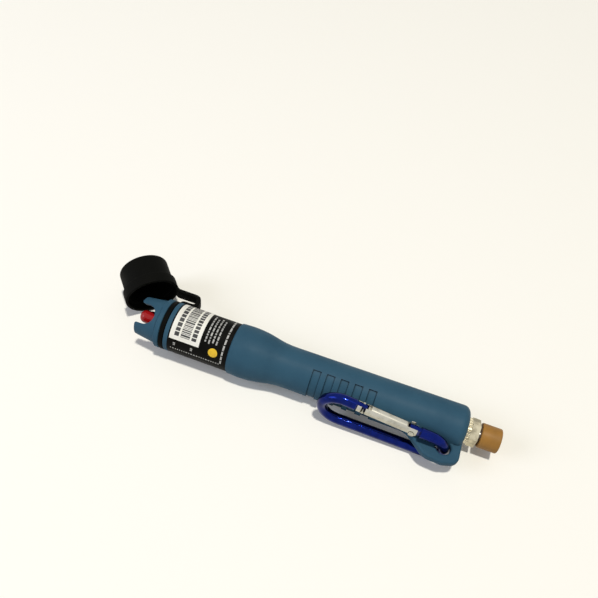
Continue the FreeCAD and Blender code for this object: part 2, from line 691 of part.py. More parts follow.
# Tail switch: the body sits behind the tail wall, and the rest is built outwards from its inner end
turned("switch_body", (
    ("tail_wall + face_fit", "plunger_radius + 2 * fit"),
    ("tail_wall + face_fit", "cell_bore - fit"),
    ("switch_back", "cell_bore - fit"),
    ("switch_back", "0"),
    ("switch_back - switch_wall", "0"),
    ("switch_back - switch_wall", "plunger_radius + 2 * fit"),
))
turn_to_tail = FreeCAD.Rotation(FreeCAD.Vector(0, 0, 1), 180)
tail_place = FreeCAD.Placement(FreeCAD.Vector(value("switch_back"), 0, 0), turn_to_tail)
switch_bush = turned("switch_bush", (
    ("switch_length", "plunger_radius + 2 * fit"),
    ("switch_length", "bush_radius"),
    ("switch_length + bush_length", "bush_radius"),
    ("switch_length + bush_length", "plunger_radius + 2 * fit"),
))
switch_washer = turned("switch_washer", (
    ("tail_face + face_fit", "bush_radius + fit"),
    ("tail_face + face_fit", "washer_radius"),
    ("washer_end", "washer_radius"),
    ("washer_end", "bush_radius + fit"),
))
notch = ring_outline(switch_washer, "washer_notch", "YZ_Plane", "washer_radius", "0", "washer_notch")
notch_cut = extrude(switch_washer, notch, "PartDesign::Pocket", "4 * washer_end", midplane=True)
round_the_axis(switch_washer, notch_cut, "washer_teeth")

nut_blank = doc.addObject("Part::Prism", "nut_blank")
nut_blank.Polygon = 6
nut_blank.setExpression("Circumradius", bound("nut_across / 2 / cos(30)"))
nut_blank.setExpression("Height", bound("nut_thick"))
nut_bore = doc.addObject("Part::Cylinder", "nut_bore")
nut_bore.setExpression("Radius", bound("bush_radius + fit"))
nut_bore.setExpression("Height", bound("nut_thick"))
switch_nut = doc.addObject("Part::Cut", "switch_nut")
switch_nut.Base = nut_blank
switch_nut.Tool = nut_bore
switch_nut.Label = "switch_nut"
pieces.append(switch_nut)

switch_plunger = turned("switch_plunger", (
    ("plunger_end", "0"),
    ("plunger_end", "plunger_radius"),
    ("button_back + plunger_seat", "plunger_radius"),
    ("button_back + plunger_seat", "0"),
))
push_cap = turned("push_cap", (
    ("button_back", "plunger_radius + film_fit"),
    ("button_back", "button_radius"),
    ("button_back + button_length", "button_radius"),
    ("button_back + button_length", "0"),
    ("button_back + plunger_seat + film_fit", "0"),
    ("button_back + plunger_seat + film_fit", "plunger_radius + film_fit"),
))
round_edges(push_cap, "push_rims", "button_blend", circle_at(
    ("button_back", "button_radius"),
    ("button_back + button_length", "button_radius"),
))
button_spring = coil_spring(
    "button_spring", "switch_wall + face_fit", "plunger_end - switch_wall - 2 * face_fit",
    "plunger_radius - 2 * button_wire", "button_wire", "button_pitch")

# Label film and sticker film round the head
label_face = "label_radius + film_fit + label_thick"
turned("label_band", (
    ("label_back + face_fit", "label_radius + film_fit"),
    ("label_back + face_fit", label_face),
    ("label_front - face_fit", label_face),
    ("label_front - face_fit", "label_radius + film_fit"),
))
label_sticker = turned("label_sticker", (
    ("label_front - sticker_inset - sticker_width", f"{label_face} + film_fit"),
    ("label_front - sticker_inset - sticker_width", f"{label_face} + film_fit + sticker_thick"),
    ("label_front - sticker_inset", f"{label_face} + film_fit + sticker_thick"),
    ("label_front - sticker_inset", f"{label_face} + film_fit"),
), arc="sticker_arc")

# Tether: a ring in the housing's groove and a flat strap that leaves it in a hairpin; here +y is the
# side away from the lug
cap_tether = turned("cap_tether", (
    ("ring_x - ring_width / 2", "groove_radius + fit"),
    ("ring_x - ring_width / 2", "ring_radius"),
    ("ring_x + ring_width / 2", "ring_radius"),
    ("ring_x + ring_width / 2", "groove_radius + fit"),
))
tab = outline(cap_tether, "tether_tab", "XY_Plane", (
    ("ring_x - ring_width / 2", "ring_radius - tab_root"),
    ("ring_x + ring_width / 2", "ring_radius - tab_root"),
    ("ring_x + ring_width / 2", "strap_y"),
    ("ring_x - ring_width / 2", "strap_y"),
))
extrude(cap_tether, tab, "PartDesign::Pad", "strap_height", midplane=True)
strap = outline(cap_tether, "strap_outline", "XY_Plane", (
    ("ring_x + ring_width / 2", "strap_y - strap_thick / 2"),
    ("bend_x", "strap_y - strap_thick / 2",
     ("bend_x", ("bend_x - strap_bend - strap_thick / 2", "strap_y + strap_bend"))),
    ("bend_x", "outer_y + strap_thick / 2"),
    ("strap_end", "outer_y + strap_thick / 2"),
    ("strap_end", "outer_y - strap_thick / 2"),
    ("bend_x", "outer_y - strap_thick / 2",
     ("bend_x", ("bend_x - strap_bend + strap_thick / 2", "strap_y + strap_bend"))),
    ("bend_x", "strap_y + strap_thick / 2"),
    ("ring_x + ring_width / 2", "strap_y + strap_thick / 2"),
))
extrude(cap_tether, strap, "PartDesign::Pad", "strap_height", midplane=True)

# Protective cap: a stepped rubber cup, drawn from its mouth to its closed end
protective_cap = turned("protective_cap", (
    ("0", "skirt_bore"),
    ("0", "skirt_radius"),
    ("skirt_length", "skirt_radius"),
    ("skirt_length", "cup_radius"),
    ("cup_length", "cup_radius"),
    ("cup_length", "0"),
    ("cup_length - cup_floor", "0"),
    ("cup_length - cup_floor", "cup_bore"),
    ("skirt_length - cup_floor", "cup_bore"),
    ("skirt_length - cup_floor", "skirt_bore"),
))
round_edges(protective_cap, "cup_rim", "cup_blend", circle_at(("cup_length", "cup_radius")))

# Spring clip, drawn in its own plane: x along the gate from the lug's end, +z from the gate to the spine
carabiner_body = new_body("carabiner_body")
path = new_sketch(carabiner_body, "bar_path", "XZ_Plane")
spread = 2 * math.atan2(value("wide_bend - narrow_bend"), value("wide_u - narrow_u"))
to_spine = FreeCAD.Vector(-math.sin(spread), math.cos(spread), 0)
narrow_centre = FreeCAD.Vector(value("narrow_u"), value("narrow_bend"), 0)
wide_centre = FreeCAD.Vector(value("wide_u"), value("wide_bend"), 0)
narrow_circle = Part.Circle(narrow_centre, FreeCAD.Vector(0, 0, 1), value("narrow_bend"))
wide_circle = Part.Circle(wide_centre, FreeCAD.Vector(0, 0, 1), value("wide_bend"))
spine_angle = math.pi / 2 + spread
PIVOT_LEG, NARROW_ARC, SPINE, WIDE_ARC, NOSE_LEG = range(5)
path.addGeometry(Part.LineSegment(
    FreeCAD.Vector(value("pivot_shoulder"), 0, 0), FreeCAD.Vector(value("narrow_u"), 0, 0)))
path.addGeometry(Part.ArcOfCircle(narrow_circle, spine_angle, 1.5 * math.pi))
path.addGeometry(Part.LineSegment(
    narrow_centre + to_spine * value("narrow_bend"), wide_centre + to_spine * value("wide_bend")))
path.addGeometry(Part.ArcOfCircle(wide_circle, -0.5 * math.pi, spine_angle))
path.addGeometry(Part.LineSegment(
    FreeCAD.Vector(value("wide_u"), 0, 0), FreeCAD.Vector(value("nose_shoulder"), 0, 0)))
path.addConstraint(Sketcher.Constraint("Coincident", PIVOT_LEG, END, NARROW_ARC, END))
path.addConstraint(Sketcher.Constraint("Coincident", WIDE_ARC, START, NOSE_LEG, START))
path.addConstraint(Sketcher.Constraint("Tangent", NARROW_ARC, START, SPINE, START))
path.addConstraint(Sketcher.Constraint("Tangent", SPINE, END, WIDE_ARC, END))
tie(path, PIVOT_LEG, START, "pivot_shoulder", "0")
tie(path, PIVOT_LEG, END, "narrow_u", "0")
tie(path, NARROW_ARC, CENTRE, "narrow_u", "narrow_bend")
tie(path, WIDE_ARC, CENTRE, "wide_u", "wide_bend")
tie(path, NOSE_LEG, START, "wide_u", "0")
tie(path, NOSE_LEG, END, "nose_shoulder", "0")
bar_section = ring_outline(
    carabiner_body, "bar_section", "YZ_Plane", "0", "0", "bar_size / 2", lift="pivot_shoulder")
doc.recompute()
bent_bar = carabiner_body.newObject("PartDesign::AdditivePipe", "bent_bar")
bent_bar.Profile = bar_section
bent_bar.Spine = (path, [f"Edge{number}" for number in range(1, 6)])
doc.recompute()


def flat_tongue(name, start, end, tip, pin_place, pin_radius):
    """Add a flat tongue that enters the gate's slot, with a rounded tip and a hole for its pin."""
    tongue = outline(carabiner_body, name, "XZ_Plane", (
        (start, "-tongue_height / 2"),
        (end, "-tongue_height / 2"),
        (end, "tongue_height / 2"),
        (start, "tongue_height / 2"),
    ))
    extrude(carabiner_body, tongue, "PartDesign::Pad", "slot_width - 2 * tongue_play", midplane=True)
    half = value("tongue_height / 2")

    def tip_corner(edge):
        middle = edge.CenterOfMass
        across = abs(edge.tangentAt(edge.FirstParameter).y) > 0.99
        return across and abs(middle.x - value(tip)) < NEAR and abs(abs(middle.z) - half) < NEAR
    round_edges(carabiner_body, f"{name}_tip", "tongue_height / 2 - fit", tip_corner)
    pin_hole = ring_outline(
        carabiner_body, f"{name}_hole", "XZ_Plane", pin_place, "0", f"{pin_radius} + pin_fit")
    extrude(carabiner_body, pin_hole, "PartDesign::Pocket", "bar_size", midplane=True)


pivot_tip = "pivot_u + tongue_height / 2"
latch_tip = "nose_shoulder - latch_tongue"
flat_tongue("pivot_tongue", "pivot_shoulder - tongue_root", pivot_tip, pivot_tip, "pivot_u", "pivot_radius")
flat_tongue("latch_tongue", latch_tip, "nose_shoulder + tongue_root", latch_tip, "latch_u", "nose_radius")

# Gate: a round rod with a slot at each end, notches for the nose pin and a bore for its spring
pivot_slot_end = f"{pivot_tip} + slot_play"
latch_slot_end = f"{latch_tip} - slot_play"
carabiner_gate = turned("carabiner_gate", (
    ("gate_start", "0"),
    ("gate_start", "bar_size / 2"),
    ("gate_end", "bar_size / 2"),
    ("gate_end", "0"),
    (f"{pivot_slot_end} + gate_spring_length", "0"),
    (f"{pivot_slot_end} + gate_spring_length", "gate_bore"),
    (pivot_slot_end, "gate_bore"),
    (pivot_slot_end, "0"),
))
for name, start, end in (
    ("pivot_slot", "gate_start - tongue_root", pivot_slot_end),
    ("latch_slot", latch_slot_end, "gate_end + tongue_root"),
):
    slot = outline(carabiner_gate, name, "XY_Plane", (
        (start, "-slot_width / 2"),
        (end, "-slot_width / 2"),
        (end, "slot_width / 2"),
        (start, "slot_width / 2"),
    ))
    extrude(carabiner_gate, slot, "PartDesign::Pocket", "2 * bar_size", midplane=True)
pivot_hole = ring_outline(carabiner_gate, "pivot_hole", "XZ_Plane", "pivot_u", "0", "pivot_radius + film_fit")
extrude(carabiner_gate, pivot_hole, "PartDesign::Pocket", "2 * bar_size", midplane=True)
notch_floor = "nose_notch / 2"
latch_notch = outline(carabiner_gate, "latch_notch", "XZ_Plane", (
    ("latch_u - nose_notch / 2", "-bar_size"),
    ("latch_u + nose_notch / 2", "-bar_size"),
    ("latch_u + nose_notch / 2", notch_floor),
    ("latch_u - nose_notch / 2", notch_floor),
))
extrude(carabiner_gate, latch_notch, "PartDesign::Pocket", "2 * bar_size", midplane=True)


def cross_pin(name, place, half_section):
    """Turn a pin about its own axis and lay it across the clip's plane."""
    pin = turned(name, half_section)
    across = FreeCAD.Rotation(FreeCAD.Vector(0, 0, 1), 90)
    pin.Placement = FreeCAD.Placement(FreeCAD.Vector(value(place), -value("bar_size"), 0), across)
    return pin


flush, proud = "bar_size / 2", "bar_size / 2 + rivet_head"
gate_pin = cross_pin("gate_pin", "pivot_u", (
    (f"bar_size - ({proud})", "0"),
    (f"bar_size - ({proud})", "rivet_radius"),
    (f"bar_size - ({flush}) - face_fit", "rivet_radius"),
    (f"bar_size - ({flush}) - face_fit", "pivot_radius"),
    (f"bar_size + ({flush}) + face_fit", "pivot_radius"),
    (f"bar_size + ({flush}) + face_fit", "rivet_radius"),
    (f"bar_size + ({proud})", "rivet_radius"),
    (f"bar_size + ({proud})", "0"),
))
nose_pin = cross_pin("nose_pin", "latch_u", (
    (f"bar_size - ({flush})", "0"),
    (f"bar_size - ({flush})", "nose_radius"),
    (f"bar_size + ({flush})", "nose_radius"),
    (f"bar_size + ({flush})", "0"),
))
gate_spring = coil_spring("gate_spring", f"{pivot_slot_end} + face_fit", "gate_spring_length - 2 * face_fit",
                          "gate_bore - coil_inset", "gate_spring_wire", "gate_spring_pitch")

# Places in the pen frame of the pieces that were drawn in frames of their own
pen_axis, upwards = FreeCAD.Vector(1, 0, 0), FreeCAD.Vector(0, 0, 1)
sideways = FreeCAD.Vector(0, 1, 0)


def placed(piece, frame):
    """Move a piece from the frame it was drawn in to the pen frame."""
    piece.Placement = frame * piece.Placement


nose_crown.Placement.Rotation = FreeCAD.Rotation(pen_axis, value("valley_turn"))
label_sticker.Placement.Rotation = FreeCAD.Rotation(pen_axis, value("sticker_start"))
cap_tether.Placement.Rotation = FreeCAD.Rotation(pen_axis, 180)
switch_nut.Placement = FreeCAD.Placement(FreeCAD.Vector(value("washer_end + face_fit"), 0, 0), along_axis)
for piece in (switch_bush, switch_washer, switch_nut, switch_plunger, push_cap, button_spring):
    placed(piece, tail_place)
cap_turn = FreeCAD.Rotation(upwards, -value("cap_yaw")) * FreeCAD.Rotation(sideways, value("cap_dip"))
protective_cap.Placement = FreeCAD.Placement(
    FreeCAD.Vector(value("cap_x"), -value("cap_y"), value("cap_z")), cap_turn)
clip_turn = (FreeCAD.Rotation(upwards, -value("clip_yaw"))
             * FreeCAD.Rotation(sideways, -value("clip_rise"))
             * FreeCAD.Rotation(sideways, -math.degrees(spread) / 2)
             * FreeCAD.Rotation(pen_axis, 180))
in_the_hole = FreeCAD.Vector(value("narrow_u - narrow_bend + hole_offset"), 0, value("narrow_bend"))
lug_hole = FreeCAD.Vector(value("hole_x"), value("hole_y"), -value("clip_drop"))
clip_place = FreeCAD.Placement(lug_hole - clip_turn.multVec(in_the_hole), clip_turn)
for piece in (carabiner_body, carabiner_gate, gate_pin, nose_pin, gate_spring):
    placed(piece, clip_place)

# The pen lies on its shoulder and its tail, head to -X, lug to -Y; the origin is under its middle
doc.recompute()
shoulder_peak = -housing.Shape.optimalBoundingBox(False, False).YMin
lie = math.asin((shoulder_peak - value("tail_radius")) / value("shoulder_x - tail_blend"))
rest_turn = FreeCAD.Rotation(upwards, 180) * FreeCAD.Rotation(sideways, -math.degrees(lie))
rest = FreeCAD.Placement(FreeCAD.Vector(), rest_turn)
for piece in pieces:
    placed(piece, rest)
doc.recompute()
box = Part.makeCompound([piece.Shape for piece in pieces]).optimalBoundingBox(False, False)
centre = FreeCAD.Placement(FreeCAD.Vector(-box.Center.x, -box.Center.y, -box.ZMin), FreeCAD.Rotation())
for piece in pieces:
    placed(piece, centre)
doc.recompute()

for thing in doc.Objects:
    if "Invalid" in thing.State or "Error" in thing.State:
        raise RuntimeError(f"{thing.Label} failed: {thing.State}")
for piece in pieces:
    if piece.Shape.isNull() or not piece.Shape.isValid():
        raise RuntimeError(f"{piece.Label} has no valid shape")
for piece in pieces:
    piece.Shape.exportStep(f"parts/{piece.Label}.step")
print(f"{len(pieces)} pieces, {box.XLength:.1f} x {box.YLength:.1f} x {box.ZLength:.1f} mm")
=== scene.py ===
import json
import math

import bmesh
import bpy
import numpy as np
from mathutils import Matrix, Vector


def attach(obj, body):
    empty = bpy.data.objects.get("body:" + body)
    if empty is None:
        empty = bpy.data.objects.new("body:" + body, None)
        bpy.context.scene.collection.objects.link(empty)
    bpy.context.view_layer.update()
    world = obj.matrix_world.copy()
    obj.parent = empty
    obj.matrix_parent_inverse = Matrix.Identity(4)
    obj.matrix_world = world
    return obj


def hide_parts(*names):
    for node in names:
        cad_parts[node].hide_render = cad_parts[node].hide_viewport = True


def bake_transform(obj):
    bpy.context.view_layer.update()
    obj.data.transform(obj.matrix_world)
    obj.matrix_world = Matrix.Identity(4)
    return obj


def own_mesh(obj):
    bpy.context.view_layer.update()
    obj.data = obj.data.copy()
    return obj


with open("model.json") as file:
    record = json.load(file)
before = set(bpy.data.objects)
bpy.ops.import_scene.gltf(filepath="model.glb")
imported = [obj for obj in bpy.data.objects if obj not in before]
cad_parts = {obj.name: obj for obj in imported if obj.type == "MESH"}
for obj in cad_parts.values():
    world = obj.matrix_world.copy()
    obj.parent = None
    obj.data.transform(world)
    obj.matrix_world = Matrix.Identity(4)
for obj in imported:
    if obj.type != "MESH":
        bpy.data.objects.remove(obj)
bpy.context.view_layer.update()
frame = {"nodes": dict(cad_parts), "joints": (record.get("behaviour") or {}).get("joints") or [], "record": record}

# The pen frame of the CAD model, in millimetres: x from the tail face to the head, y to the lug,
# z up. All lengths below are in millimetres, apart from those of the table, lamps and camera.
MM = 0.001
JOINTS = {joint["name"]: joint for joint in frame["joints"]}
HEAD = np.array(JOINTS["dust_cap_pull"]["axis"])
UP = np.array(JOINTS["clip_swing"]["axis"])
LUG_SIDE = np.cross(UP, HEAD)
RING_X = 160.3
TAIL = np.array(JOINTS["tether_swivel"]["pos_m"]) - RING_X * MM * HEAD
PEN_AXES = np.stack((HEAD, LUG_SIDE, UP))

# The open cap beside the head: the middle of its mouth in the pen frame, and the way its axis
# points
CAP_MOUTH = np.array((177.6, -13.5, -0.2))
CAP_YAW, CAP_LIFT = math.radians(48.0), math.radians(6.4)


def on_pen(points):
    """Carry points (x, y, z) of the pen frame, in millimetres, to the row frame in metres."""
    return TAIL + MM * (np.asarray(points, float) @ PEN_AXES)


def on_cap(points):
    """Carry points (along the cap's axis from its mouth, across, up) to the row frame: turn them up
    by the lift, then round the upright by the yaw, and move them to the mouth."""
    c, s = math.cos(CAP_LIFT), math.sin(CAP_LIFT)
    lift = np.array(((c, 0, s), (0, 1, 0), (-s, 0, c)))
    c, s = math.cos(CAP_YAW), math.sin(CAP_YAW)
    yaw = np.array(((c, -s, 0), (s, c, 0), (0, 0, 1)))
    return on_pen(CAP_MOUTH + np.asarray(points, float) @ lift @ yaw)


# Surfaces
MERGE_DISTANCE = 1e-7
SHARP_ANGLE = math.radians(40)


def mesh_piece(name, points, faces):
    """Make a mesh object of points and faces, with coinciding points merged, faces outward, and
    smooth shading apart from sharp edges."""
    mesh = bpy.data.meshes.new(name)
    mesh.from_pydata(points.reshape(-1, 3).tolist(), [], faces.tolist())
    shell = bmesh.new()
    shell.from_mesh(mesh)
    bmesh.ops.remove_doubles(shell, verts=shell.verts, dist=MERGE_DISTANCE)
    bmesh.ops.recalc_face_normals(shell, faces=shell.faces)
    shell.to_mesh(mesh)
    shell.free()
    mesh.shade_smooth()
    mesh.set_sharp_from_angle(angle=SHARP_ANGLE)
    piece = bpy.data.objects.new(name, mesh)
    bpy.context.scene.collection.objects.link(piece)
    return piece


def grid_faces(rows, columns, wrap_rows, wrap_columns):
    """Number the quads of a grid of points; a wrapped direction joins its last line to its
    first."""
    u, v = np.meshgrid(np.arange(rows if wrap_rows else rows - 1),
                       np.arange(columns if wrap_columns else columns - 1), indexing="ij")
    u_next, v_next = (u + 1) % rows, (v + 1) % columns
    corners = (u * columns + v, u_next * columns + v, u_next * columns + v_next,
               u * columns + v_next)
    return np.stack(corners, -1).reshape(-1, 4)


def eased(corners, reach, steps=7):
    """Round the corners of a line: at each corner the line is the quadratic curve that starts
    `reach` before the corner, is drawn towards it, and ends `reach` after it."""
    corners = np.asarray(corners, float)
    back = np.roll(corners, 1, 0) - corners
    on = np.roll(corners, -1, 0) - corners
    back /= np.linalg.norm(back, axis=1, keepdims=True)
    on /= np.linalg.norm(on, axis=1, keepdims=True)
    reach = np.broadcast_to(np.asarray(reach, float), len(corners))[:, None, None]
    s = np.linspace(0, 1, steps)[None, :, None]
    bent = corners[:, None] + reach * ((1 - s) ** 2 * back[:, None] + s ** 2 * on[:, None])
    return bent.reshape(-1, corners.shape[1])


def evenly(line, count):
    """Put `count` points along a line at equal steps of its length."""
    run = np.concatenate(((0.0,), np.cumsum(np.linalg.norm(np.diff(line, axis=0), axis=1))))
    at = np.linspace(0, run[-1], count)
    return np.stack((np.interp(at, run, line[:, 0]), np.interp(at, run, line[:, 1])), -1)


def turned(profile, place, count, loop):
    """Turn a profile of (along the axis, radius) about the axis: the point at an angle has that
    radius times the angle's cosine and sine. Returns points and faces; a loop is a profile that
    closes on itself."""
    angle = np.linspace(0, 2 * np.pi, count, endpoint=False)[:, None]
    along, radius = profile[:, 0], profile[:, 1]
    points = np.stack((along + 0 * angle, radius * np.cos(angle), radius * np.sin(angle)), -1)
    return place(points), grid_faces(count, len(profile), True, loop)


def carried(path, section, size, place):
    """Carry a closed section (across, up) along a flat path: across follows the path's normal times
    a size that changes along it, up stands off the path's plane, and each end closes on its
    middle."""
    way = np.gradient(path, axis=0)
    way /= np.linalg.norm(way, axis=1, keepdims=True)
    normal = np.stack((-way[:, 1], way[:, 0]), -1)
    flat = path[:, None] + normal[:, None] * (section[None, :, :1] * size[:, None, None])
    tall = np.broadcast_to(section[None, :, 1:], flat.shape[:2] + (1,))
    rings = np.concatenate((flat, tall), -1)
    ends = np.stack((rings[0], rings[-1])).mean(1, keepdims=True) + 0 * rings[:2]
    points = np.concatenate((ends[:1], rings, ends[1:]))
    return place(points), grid_faces(len(points), len(section), False, True)


def coil(x_from, x_to, radius, wire, turns, place, steps=480, sides=14):
    """Wind a wire into a spring on the pen axis: its middle goes from x to x while it turns at a
    radius, and its round section lies across its way, on the outward line and the line square to
    both; each end closes on its middle."""
    s = np.linspace(0, 1, steps)[:, None]
    angle = 2 * np.pi * turns * s
    out = np.concatenate((0 * s, np.cos(angle), np.sin(angle)), 1)
    middle = radius * out + np.array((1, 0, 0)) * (x_from + (x_to - x_from) * s)
    way = np.gradient(middle, axis=0)
    across = np.cross(way / np.linalg.norm(way, axis=1, keepdims=True), out)
    bearing = np.linspace(0, 2 * np.pi, sides, endpoint=False)[None, :, None]
    section = np.cos(bearing) * out[:, None] + np.sin(bearing) * across[:, None]
    rings = middle[:, None] + wire / 2 * section
    ends = middle[[0, -1]][:, None] + 0 * rings[:2]
    points = np.concatenate((ends[:1], rings, ends[1:]))
    return place(points), grid_faces(len(points), sides, False, True)


def together(*shells):
    """Join several (points, faces) into one."""
    starts = np.cumsum([0] + [points.size // 3 for points, faces in shells])
    return (np.concatenate([points.reshape(-1, 3) for points, faces in shells]),
            np.concatenate([faces + start for (points, faces), start in zip(shells, starts)]))


def raised_marks(marks, floor, top, steps=5):
    """Thin printed bars on the pen: each mark is (from x, to x, from angle, to angle in degrees),
    and its four-cornered section, between two radii, is carried round the pen axis from angle to
    angle."""
    marks = np.asarray(marks, float)
    x = marks[:, [0, 1, 1, 0]][:, None, :]
    radius = np.array((floor, floor, top, top))[None, None, :]
    sweep = (marks[:, 3:] - marks[:, 2:3]) * np.linspace(0, 1, steps)
    angle = np.radians(marks[:, 2:3] + sweep)[:, :, None]
    points = np.stack(np.broadcast_arrays(x, radius * np.cos(angle), radius * np.sin(angle)), -1)
    start = (np.arange(len(marks)) * steps * 4)[:, None, None]
    around = start + grid_faces(steps, 4, False, True)[None]
    last = steps * 4 - 4
    ends = start + np.array(((3, 2, 1, 0), (last, last + 1, last + 2, last + 3)))[None]
    return on_pen(points), np.concatenate((around.reshape(-1, 4), ends.reshape(-1, 4)))


def raised_disc(x, angle, size, floor, top, rings=6, count=48):
    """A round printed spot on the pen: a point at a distance and a bearing from the spot's middle
    lies that far along the pen and round it, on the top radius, and the rim goes down to the floor
    and back inside."""
    spread = np.concatenate((np.linspace(0, size, rings), (size, 0.0)))
    radius = np.concatenate((np.full(rings, top), (floor, floor)))
    bearing = np.linspace(0, 2 * np.pi, count, endpoint=False)[:, None]
    turn = np.radians(angle) + spread * np.sin(bearing) / top
    points = np.stack((x + spread * np.cos(bearing), radius * np.cos(turn), radius * np.sin(turn)),
                      -1)
    return on_pen(points), grid_faces(count, len(spread), True, False)


# Finishes
def join(tree, socket, given):
    """Link an output to an input, or set the input to a constant."""
    if isinstance(given, bpy.types.NodeSocket):
        tree.links.new(given, socket)
    else:
        socket.default_value = given


def add(tree, kind, inputs=(), **settings):
    """Add a shader node with its settings, and join its inputs."""
    made = tree.nodes.new("ShaderNode" + kind)
    for name, setting in settings.items():
        setattr(made, name, setting)
    for name, given in dict(inputs).items():
        join(tree, made.inputs[name], given)
    return made


def mixed(tree, mask, below, above):
    """The colour that goes from one to the other as the mask goes from 0 to 1."""
    return add(tree, "Mix", {0: mask, 6: below, 7: above}, data_type="RGBA").outputs[2]


def new_group(name, inputs, outputs):
    """Start a shader node group with named sockets, given as {name: Float, Vector or Color}."""
    tree = bpy.data.node_groups.new(name, "ShaderNodeTree")
    for sockets, side in ((inputs, "INPUT"), (outputs, "OUTPUT")):
        for socket, kind in sockets.items():
            tree.interface.new_socket(socket, in_out=side, socket_type="NodeSocket" + kind)
    return (tree, tree.nodes.new("NodeGroupInput").outputs,
            tree.nodes.new("NodeGroupOutput").inputs)


TWO_TONES = {"Tone": "Color", "Shade": "Color", "Smooth": "Float", "Rough": "Float"}
SURFACE = {"Color": "Color", "Roughness": "Float", "Height": "Float"}


def put_out(tree, given, out, part, height):
    """Give a surface group's outputs: the mask `part` goes from tone to shade and from smooth to
    rough, and the height is as it comes."""
    rough = add(tree, "MapRange", {"Value": part, "To Min": given["Smooth"],
                                   "To Max": given["Rough"]})
    join(tree, out["Color"], mixed(tree, part, given["Tone"], given["Shade"]))
    join(tree, out["Roughness"], rough.outputs["Result"])
    join(tree, out["Height"], height)
    return tree


def moulded_group():
    """Moulded skin: fine noise is the height, and wide soft noise with a little of the fine one
    mixes two tones and two roughnesses."""
    tree, given, out = new_group(
        "moulded_skin", {"Vector": "Vector", "Grain": "Float", "Blotch": "Float", **TWO_TONES},
        SURFACE)
    grain = add(tree, "TexNoise", {"Vector": given["Vector"], "Scale": given["Grain"],
                                   "Detail": 3.0, "Roughness": 0.55})
    blotch = add(tree, "TexNoise", {"Vector": given["Vector"], "Scale": given["Blotch"],
                                    "Detail": 4.0, "Roughness": 0.6})
    spread = add(tree, "MapRange", {"Value": blotch.outputs["Fac"], "From Min": 0.3,
                                    "From Max": 0.7}, interpolation_type="SMOOTHSTEP")
    speckle = add(tree, "Math", {0: grain.outputs["Fac"], 1: 0.35, 2: -0.175},
                  operation="MULTIPLY_ADD")
    part = add(tree, "Math", {0: spread.outputs["Result"], 1: speckle.outputs[0]},
               operation="ADD", use_clamp=True)
    return put_out(tree, given, out, part.outputs[0], grain.outputs["Fac"])


def drawn_group():
    """Drawn or turned metal: noise stretched along the tool's way is the height and moves the tone
    and roughness, and wide noise lays a film of handling over it; where the second tone is near
    black, as on the nickel, these patches paint dark reflections."""
    tree, given, out = new_group(
        "drawn_metal", {"Vector": "Vector", "Stretch": "Vector", "Film": "Float", **TWO_TONES},
        SURFACE)
    way = add(tree, "VectorMath", {0: given["Vector"], 1: given["Stretch"]}, operation="MULTIPLY")
    lines = add(tree, "TexNoise", {"Vector": way.outputs[0], "Scale": 1.0, "Detail": 4.0,
                                   "Roughness": 0.7})
    film = add(tree, "TexNoise", {"Vector": given["Vector"], "Scale": given["Film"],
                                  "Detail": 3.0})
    wide = add(tree, "MapRange", {"Value": film.outputs["Fac"], "From Min": 0.35,
                                  "From Max": 0.7}, interpolation_type="SMOOTHSTEP")
    half = add(tree, "Math", {0: lines.outputs["Fac"], 1: 0.5, 2: -0.1}, operation="MULTIPLY_ADD")
    part = add(tree, "Math", {0: wide.outputs["Result"], 1: 0.5, 2: half.outputs[0]},
               operation="MULTIPLY_ADD", use_clamp=True)
    return put_out(tree, given, out, part.outputs[0], lines.outputs["Fac"])


def specks_group():
    """Settled dust and lint: the sharp peaks of a noise, thinned by a wider one, give the mask."""
    tree, given, out = new_group(
        "settled_dust", {"Vector": "Vector", "Scale": "Float", "Amount": "Float"},
        {"Mask": "Float"})
    fine = add(tree, "TexNoise", {"Vector": given["Vector"], "Scale": given["Scale"],
                                  "Detail": 2.0})
    wide = add(tree, "TexNoise", {"Vector": given["Vector"], "Scale": 160.0, "Detail": 2.0})
    peak = add(tree, "MapRange", {"Value": fine.outputs["Fac"], "From Min": 0.64,
                                  "From Max": 0.74}, interpolation_type="SMOOTHSTEP")
    patch = add(tree, "MapRange", {"Value": wide.outputs["Fac"], "From Min": 0.4,
                                   "From Max": 0.65})
    some = add(tree, "Math", {0: peak.outputs["Result"], 1: patch.outputs["Result"]},
               operation="MULTIPLY")
    mask = add(tree, "Math", {0: some.outputs[0], 1: given["Amount"]}, operation="MULTIPLY",
               use_clamp=True)
    join(tree, out["Mask"], mask.outputs[0])
    return tree


MOULDED, DRAWN, SPECKS = moulded_group(), drawn_group(), specks_group()

# Where the walls of the grip recesses are, which are painted in shade: radii from the pen axis and
# places along it, each with the value at which the mask is nothing and that at which it is full
GRIP_FLOOR = 10.52
WALL_FOOT, WALL_TOP = (GRIP_FLOOR + 0.03, GRIP_FLOOR + 0.08), (GRIP_FLOOR + 0.52, GRIP_FLOOR + 0.44)
GRIP_REAR, GRIP_FRONT = (44.0, 46.0), (83.0, 81.0)

# Painted shade in each crevice: how far the surface looks for a wall, and how open it is where the
# painted shade is full and where it ends
CREVICE_REACH = 1.1
CREVICE_SHUT, CREVICE_OPEN = 0.55, 0.92

DUST_SCALE, BUMP_STRENGTH = 2600.0, 0.6


